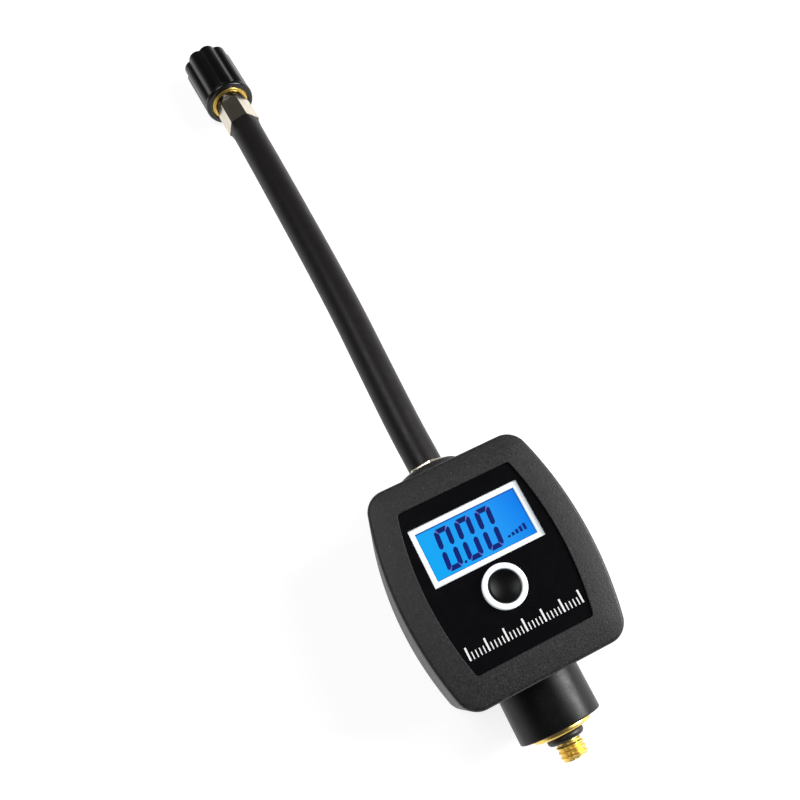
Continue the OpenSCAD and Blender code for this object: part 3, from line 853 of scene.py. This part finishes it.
def battery_cover():
    """The sliding door, with a bowed row of finger ridges and a direction arrow cut into it."""
    high = span("battery_door")[1]
    half = high.x - DOOR_TONGUE
    thick = high.z
    end = -CASE_END + 0.8
    edge = 0.25
    outline = rounded(rectangle(-half, end, half, high.y), [0.4, 0.4, 2.5, 2.5], 5, True)
    inner = rectangle(-half + edge, end + edge, half - edge, high.y - edge)
    inner = rounded(inner, [0.2, 0.2, 2.25, 2.25], 5, True)
    bottom = 0.02
    layers = [(inner, bottom), (outline, bottom + edge), (outline, thick)]
    door = stack("battery_cover", layers, "gauge", "casing")
    rail_start, rail_end, rail_t = -22.8, high.y - 2.6, 0.9
    rails = box_tool((-high.x, rail_start, thick - rail_t), (high.x, rail_end, thick))
    carve(door, rails, "UNION")
    ridges, pitch, groove, depth = 6, 1.7, 0.8, 0.45
    for k in range(ridges):
        y = -21 + pitch * k
        bow = 9 - 0.25 * (k - 2.5) ** 2
        carve(door, box_tool((-bow, y, -1), (bow, y + groove, depth)))
    arrow = [(-2.6, -6.5), (0, -10), (2.6, -6.5), (1.0, -6.5), (1.0, -3.5), (-1.0, -3.5), (-1.0, -6.5)]
    carve(door, raw_tool(*skin([[(x, y, z) for x, y in arrow] for z in (-1, 0.3)])))
    tidy(door)
    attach(door, "door")
    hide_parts("battery_door")


# ---------------------------------------------------------------- front panel


def label_sheet():
    """Gloss panel sheet, cut out for the display and the button's ring."""
    edge = 0.08
    layers = [
        (panel_outline(PANEL_GAP), PANEL_FLOOR),
        (panel_outline(PANEL_GAP), PANEL_TOP - edge),
        (panel_outline(PANEL_GAP + edge), PANEL_TOP),
    ]
    sheet = stack("label_sheet", layers, "gauge", "panel")
    below, above = 30, 40
    carve(sheet, box_tool((bezel_low.x, bezel_low.y, below), (bezel_high.x, bezel_high.y, above)))
    carve(sheet, rod_tool(RING_R + 0.1, below, above, "Z", (0, BUTTON_Y), 96))
    tidy(sheet)
    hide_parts("display_panel")


def film(name, shapes, z, slot, finish):
    """Flat outlines, printed on a face at height z as a thin film."""
    sunk, thick = 0.01, 0.03
    points = [point for shape in shapes for point in shape]
    count = len(points)
    low = [(x, y, z - sunk) for x, y in points]
    high = [(x, y, z + thick) for x, y in points]
    faces = []
    base = 0
    for shape in shapes:
        face = tuple(range(base, base + len(shape)))
        base += len(shape)
        faces.append(tuple(reversed(face)))
        faces.append(tuple(i + count for i in face))
        for a, b in zip(face, (*face[1:], face[0])):
            faces.append((a, b, b + count, a + count))
    return add_mesh(name, [*low, *high], faces, "gauge", slot, finish=finish)


def printed_scale():
    """A printed row of graduation marks across the lower end of the label."""
    half_w, low_y, high_y = 14.6, -16.7, -13.6
    steps = 30
    marks = []
    for k in range(steps + 1):
        x = -half_w + 2 * half_w * k / steps
        major = k % 5 == 0
        half_t = 0.22 if major else 0.13
        top = high_y if major else low_y + 0.55 * (high_y - low_y)
        marks.append(rectangle(x - half_t, low_y, x + half_t, top))
    film("scale_marks", marks, PANEL_TOP, "white_plastic", "ink_white")


def display_bezel():
    """White frame round the display: four sloped sides down to the glass."""
    low, high = bezel_low, bezel_high
    top = span("display_frame")[1].z
    foot = lcd_high.z - 1.2

    def border(inset):
        return rectangle(low.x + inset, low.y + inset, high.x - inset, high.y - inset)

    loops = [
        (border(0.02), foot), (border(0.02), top), (border(0.06), top + 0.02),
        (border(LCD_BORDER - 0.12), top + 0.02), (border(LCD_BORDER), top - 0.1),
        (border(LCD_BORDER), foot),
    ]
    points, faces = skin([[(x, y, z) for x, y in outline] for outline, z in loops], "joined")
    # the white finish of the bezel carries a painted glow
    bezel = add_mesh("display_bezel", points, faces, "gauge", "white_plastic", finish="painted_glow_white")
    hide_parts("display_frame")


def lcd_sheet():
    """The lit sheet of the display."""
    outline = rectangle(lcd_low.x, lcd_low.y, lcd_high.x, lcd_high.y)
    outline = rounded(outline, 0.3, 3, True)
    sheet = stack("lcd_sheet", [(outline, lcd_low.z), (outline, lcd_high.z)], "gauge", "lcd")
    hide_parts("display_glass")


def segment_outlines(width, height, thick, gap):
    """The outer six segments of a figure 0, as outlines from the figure's lower left corner."""
    middle = height / 2
    cut = 0.45 * thick
    inner = thick * 0.95 + gap
    under = height - thick
    bar = [(gap + cut, height), (width - gap - cut, height), (width - inner, under), (inner, under)]
    side = [
        (cut * 0.4, height - cut * 0.9), (cut * 0.9, height - cut * 0.9 - gap * 0.2),
        (thick, height - thick - gap), (thick, middle + 0.75 * thick),
        (0.68 * thick, middle + 0.3 * thick), (0.3 * thick, middle + 0.3 * thick),
        (0, middle + 0.75 * thick), (0, height - cut * 1.8),
    ]
    upper = [bar, side, [(width - x, y) for x, y in side]]
    return [*upper, *[[(x, height - y) for x, y in shape] for shape in upper]]


def painted_edge_shade_strips(width):
    """Four thin strips just inside the white border, where the lit area ends: painted shade where the
    border's recess shades the edge of the lit area.
    """
    x0, x1 = bezel_low.x + LCD_BORDER, bezel_high.x - LCD_BORDER
    y0, y1 = bezel_low.y + LCD_BORDER, bezel_high.y - LCD_BORDER
    sides = [
        (x0, y0, x1, y0 + 0.6 * width), (x0, y1 - width, x1, y1),
        (x0, y0 + width, x0 + 0.6 * width, y1 - width), (x1 - width, y0 + width, x1, y1 - width),
    ]
    return [rectangle(*side) for side in sides]


def lcd_digits():
    """Three slanted figures, 0.00, violet joints between their segments, and rising bars."""
    width, height, thick, pitch = 4.1, 10.4, 1.22, 5.44
    left, bottom = -9.95, 2.9
    slant = math.tan(math.radians(5))
    z = lcd_high.z

    def slanted(shape, x0):
        return [(x0 + x + slant * y, bottom + y) for x, y in shape]

    joint = [(0.35, height - 0.1), (0.62, height - 0.1), (1.35, height - 1.35), (1.05, height - 1.4)]
    ink, joints = [], []
    for k in range(3):
        x0 = left + pitch * k
        ink += [slanted(shape, x0) for shape in segment_outlines(width, height, thick, 0.13)]
        for x_side in (0, 1):
            for y_side in (0, 1):
                strip = [(width - x if x_side else x, height - y if y_side else y) for x, y in joint]
                joints.append(slanted(strip, x0))
    point_r = 0.36
    dot = [(width + 0.62 + x, 0.55 + y) for x, y in circle(point_r, 12)]
    ink.append(slanted(dot, left))
    bars, bars_left, bar_pitch, bar_w = 5, 6.5, 1.1, 0.7
    bar_foot, first_h, rise = 4.0, 0.5, 0.28
    for k in range(bars):
        x0 = bars_left + bar_pitch * k
        ink.append(rectangle(x0, bar_foot, x0 + bar_w, bar_foot + first_h + rise * k))
    film("lcd_joints", joints, z, "lcd", "ink_violet")
    # painted shade along the inside of the white border
    film("lcd_painted_edge_shade", painted_edge_shade_strips(0.3), z, "lcd", "painted_edge_shade_ink")
    film("lcd_digits", ink, z + 0.015, "lcd", "ink_navy")


def trim_ring():
    """White ring round the button, with a rounded top."""
    inner, foot, top = BUTTON_HOLE_R, 33.0, ring_high.z
    profile = [(inner, foot), (RING_R - 0.05, foot), (RING_R, top), (inner, top)]
    loops = upright_loops(rounded(profile, [0, 0, 0.25, 0.2], 5, True), 96)
    points, faces = skin(loops, "joined")
    # the white finish of the ring carries a painted glow
    ring = add_mesh("trim_ring", points, faces, "gauge", "white_plastic", finish="painted_glow_white")
    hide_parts("button_ring")


def button_cap():
    """Black button: a dished top inside a rolled edge."""
    dish_r, dish_depth = 11.0, 0.6
    edge = 0.4
    steps = 14
    reach = BUTTON_R - edge
    dish_low = button_high.z - dish_depth
    flange_r, flange_top = BUTTON_R + 0.55, FRONT_INSIDE - 0.1
    rows = [(flange_r, button_low.z), (flange_r, flange_top), (BUTTON_R, flange_top)]
    for k in range(6):
        a = math.pi / 2 * k / 5
        rows.append((reach + edge * math.cos(a), button_high.z - edge + edge * math.sin(a)))
    for k in range(1, steps):
        r = reach * (1 - k / steps)
        rows.append((r, dish_low + dish_r - math.sqrt(dish_r**2 - r**2)))
    cap = add_mesh("button_cap", *skin(upright_loops(rows, 72)), "button", "button", sharp=50)
    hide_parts("push_button")


# ---------------------------------------------------------------- pump end


def round_collar():
    """Collar between the casing and the pump fitting's flange."""
    bore, back, front = SHANK_R + 0.05, -CASE_END + 0.4, -COLLAR_END
    profile = [(bore, back), (COLLAR_R, back), (COLLAR_R - 0.05, front), (bore, front)]
    rows = rounded(profile, [0, 0, 0.35, 0], 6, True)
    collar = turned("round_collar", rows, AIR_LINE, "gauge", "collar")
    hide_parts("pump_collar")


def thread_radius(crest, root, pitch, y, slots=0):
    """Radius of a screw thread at y, as a function of the angle, with shallow slots along it."""

    def radius(angle):
        phase = (y / pitch + angle / math.tau) % 1.0
        ridge = 1 - abs(2 * phase - 1)
        r = root + (crest - root) * min(1.0, max(0.0, 1.5 * ridge - 0.2))
        if slots:
            near = abs((angle * slots / math.tau + 0.5) % 1.0 - 0.5) * 2
            r -= 0.35 * (crest - root) * max(0.0, 1 - near / 0.3)
        return r

    return radius


def pump_stud():
    """The turned brass fitting: shank, flange, neck, and a slotted thread round the air hole."""
    flange_front = seal_high.y + 0.05
    thread_start = -seal_low.y + 0.35
    shank_end = fitting_high.y
    rows = [(AIR_R, shank_end), (SHANK_R, shank_end), (SHANK_R, -COLLAR_END)]
    flange = [
        (SHANK_R, -COLLAR_END), (FLANGE_R, -COLLAR_END),
        (FLANGE_R - 0.05, flange_front), (NECK_R, flange_front),
    ]
    rows += rounded(flange, [0, 0.25, 0.6, 0], 5)
    rows.append((NECK_R, -thread_start + 0.1))
    steps = 56
    pitch = 1.15
    chamfer = 0.45
    for k in range(steps + 1):
        y = thread_start + (STUD_END - thread_start) * k / steps
        fade = min(1.0, (y - thread_start) / 0.35)
        tail = max(0.0, (y - (STUD_END - chamfer)) / chamfer)
        crest = NECK_R + (STUD_R - NECK_R) * fade - 0.5 * tail
        root = min(crest, STUD_R - 0.55)
        rows.append((thread_radius(crest, root, pitch, y, slots=6), -y))
    rows += [(2.2, -STUD_END), (AIR_R + 0.2, -STUD_END), (AIR_R, -STUD_END + 0.2)]
    stud = turned("pump_stud", rows, AIR_LINE, "gauge", "brass", count=144, sharp=60)
    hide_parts("pump_fitting")


def sealing_ring():
    """Rubber ring on the fitting's neck."""
    tube = (seal_high.y - seal_low.y) / 2
    centre_y = (seal_high.y + seal_low.y) / 2
    reach = seal_high.x - tube
    rows = [(reach + x, centre_y + y) for x, y in circle(tube, 24)]
    ring = turned("sealing_ring", rows, AIR_LINE, "gauge", "seal_rubber")
    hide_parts("pump_o_ring")


# ---------------------------------------------------------------- hose and chuck


def hose_tube():
    """The hose, along its route."""
    data = bpy.data.curves.new("hose_tube", "CURVE")
    data.dimensions = "3D"
    data.bevel_depth = HOSE_R * MM
    data.bevel_resolution = 10
    data.resolution_u = 10
    data.use_fill_caps = True
    spline = data.splines.new("BEZIER")
    spline.bezier_points.add(len(HOSE_ROUTE) - 1)
    for knot, place in zip(spline.bezier_points, HOSE_ROUTE):
        knot.co = Vector(place) * MM
        knot.handle_left_type = knot.handle_right_type = "AUTO"
    hose = bpy.data.objects.new("hose_tube", data)
    bpy.context.scene.collection.objects.link(hose)
    data.materials.append(finishes["hose_rubber"])
    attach(hose, "gauge")
    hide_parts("hose")
    return hose


def hexagon(across, corner, turn):
    """A hexagon with round corners, measured across its flats."""
    return rounded(circle(across / 2 / math.cos(math.pi / 6), 6, turn), corner, 7, True)


def hex_loops(rows, place, turn):
    """Rounded hexagons over (width across the flats, corner radius, distance) rows."""
    return [
        [place @ Vector((x, along, z)) for x, z in hexagon(across, corner, turn)]
        for across, corner, along in rows
    ]


def crimped_ferrule(name, place, start, end, turn, node):
    """Hexagonal crimped sleeve: a rolled lip at the hose's end, flared into a round at the other."""
    way = math.copysign(1, end - start)
    lip = [
        (9.2, 1.2, end), (9.2, 1.2, start + 0.35 * way), (9.42, 0.9, start + 0.1 * way),
        (9.55, 0.7, start), (FERRULE_AF - 0.04, 0.55, start + 0.03 * way),
        (FERRULE_AF, 0.5, start + 0.2 * way), (FERRULE_AF - 0.02, 0.5, start + 0.6 * way),
    ]
    waist = [(FERRULE_AF - 0.12, 0.55, (start + end) / 2)]
    flare = [
        (FERRULE_AF - 0.04, 0.6, end - 3.4 * way), (FERRULE_AF + 0.06, 1.6, end - 2.6 * way),
        (FERRULE_AF + 0.2, 3.2, end - 1.8 * way), (FERRULE_AF + 0.4, 4.7, end - 1.1 * way),
        (FERRULE_AF + 0.7, 5.2, end - 0.5 * way), (FERRULE_AF + 0.86, 5.3, end - 0.15 * way),
        (FERRULE_AF + 0.8, 5.2, end),
    ]
    points, faces = skin(hex_loops(lip + waist + flare, place, turn), "joined")
    ferrule = add_mesh(name, points, faces, "gauge", "nickel", sharp=40)
    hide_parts(node)
    return ferrule


def hose_swell():
    """Rubber squeezed out of the upper ferrule: six-sided at its mouth, round a little way out."""
    rows = [
        (8.9, 1.4, 1.0), (9.3, 1.0, 0.3), (9.36, 1.3, -0.05), (9.42, 1.9, -0.5),
        (9.46, 2.9, -1.3), (9.5, 4.0, -2.6), (9.48, 4.7, -4.2), (9.3, 4.6, -4.6),
    ]
    points, faces = skin(hex_loops(rows, CHUCK, UPPER_TURN))
    return add_mesh("upper_swell", points, faces, "gauge", "hose_rubber", sharp=60)


def stem_ring():
    """Brass stem of the chuck: plain tail, dished ring in the grip's mouth, journal and head."""
    tail = [(AIR_R, 1.5), (2.6, 1.5), (2.6, 11.6)]
    rim = [(5.5, 11.65), (5.62, 11.52), (5.72, 11.45), (5.9, 11.45), (6.0, 11.55), (6.0, 13.0)]
    journal = [(4.4, 13.0), (4.4, 17.3)]
    head = [(5.2, 17.3), (5.2, 19.3), (AIR_R, 19.3)]
    rows = tail + rim + journal + head
    stem = turned("stem_ring", rows, CHUCK, "gauge", "brass", sharp=30)
    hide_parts("chuck_stem")
    return stem


def lobed_radius(inset, share):
    """Radius of the grip at an angle: round for share 0, lobed for share 1, with soft valleys."""
    lobe_r = 2.9
    reach = GRIP_R - lobe_r
    base = GRIP_R - 0.95
    softness = 0.10

    def radius(angle):
        total = math.exp(base / softness - GRIP_R / softness)
        step = math.tau / GRIP_LOBES
        near = (angle + step / 2) % step - step / 2
        for offset in (-step, 0, step):
            d = near + offset
            inside = lobe_r**2 - (reach * math.sin(d)) ** 2
            if inside > 0:
                r = reach * math.cos(d) + math.sqrt(inside)
                total += math.exp((r - GRIP_R) / softness)
        lobed = GRIP_R + softness * math.log(total)
        lobed = min(lobed, GRIP_R)
        return (1 - share) * (GRIP_R - 0.1) + share * lobed - inset

    return radius


def grip_cap():
    """Gloss black grip: nine lobes, a plain band at the hose end, edges rolled over at the far end."""
    band = GRIP_START + GRIP_BAND
    lobes = band + 0.6
    end_round = 0.9
    lobes_l = GRIP_END - end_round - 0.1 - lobes
    rows = [
        (GRIP_BORE, GRIP_START + 0.5), (GRIP_BORE, GRIP_START + 0.15),
        (GRIP_BORE + 0.15, GRIP_START), (7.2, GRIP_START), (7.6, GRIP_START + 0.12),
        (7.88, GRIP_START + 0.38), (8.0, GRIP_START + 0.8), (8.05, band - 0.2),
        (lobed_radius(0.05, 0.3), band), (lobed_radius(0.03, 0.8), band + 0.2),
    ]
    rows += [(lobed_radius(0.0, 1.0), lobes + lobes_l * k / 4) for k in range(5)]
    for inset, drop in quarter_round(end_round)[1:]:
        rows.append((lobed_radius(inset, 1.0), GRIP_END - drop))
    rows += [(GRIP_BORE + 0.15, GRIP_END), (GRIP_BORE, GRIP_END - 0.2)]
    grip = turned("grip_cap", rows, CHUCK, "chuck_nut", "grip", count=216, sharp=40)
    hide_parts("chuck_grip")
    return grip


def valve_socket():
    """Brass insert of the grip, with the valve thread cut in it."""
    start, end = 19.6, GRIP_END - 0.3
    outer = GRIP_BORE - 0.02
    thread_start, thread_end, pitch = 21.4, end - 0.8, 0.8
    seat_r, root, edge = 5.4, VALVE_R + 0.35, 0.15
    rows = [
        (seat_r, start), (outer, start), (outer, end - edge), (outer - edge, end),
        (VALVE_R + 1.5, end), (root, thread_end),
    ]
    steps = 60
    for k in range(steps + 1):
        s = thread_end - (thread_end - thread_start) * k / steps
        rows.append((thread_radius(VALVE_R, root, pitch, s), s))
    rows.append((seat_r, thread_start))
    socket = turned("valve_socket", rows, CHUCK, "chuck_nut", "brass", sharp=50)
    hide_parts("chuck_insert")
    return socket


# ---------------------------------------------------------------- assembly


def finish_cad_nodes():
    """Gives every CAD node the finish of its slot in the record."""
    for part in frame["record"]["subparts"]:
        piece = nodes[part["node"]]
        piece.data.materials.clear()
        piece.data.materials.append(finishes[part["material_slot"]])


finishes = make_finishes()
add_camera()
finish_cad_nodes()
hose = hose_tube()
crimped_ferrule("lower_crimp", AIR_LINE, FERRULE_MOUTH, 22.0, LOWER_TURN, "lower_ferrule")
upper = crimped_ferrule("upper_crimp", CHUCK, 0.0, 11.5, UPPER_TURN, "upper_ferrule")
upper_swell = hose_swell()
stem = stem_ring()
grip = grip_cap()
socket = valve_socket()
front_shell()
rear_shell()
battery_cover()
label_sheet()
printed_scale()
display_bezel()
lcd_sheet()
lcd_digits()
trim_ring()
button_cap()
round_collar()
pump_stud()
sealing_ring()
add_floor()
add_studio()
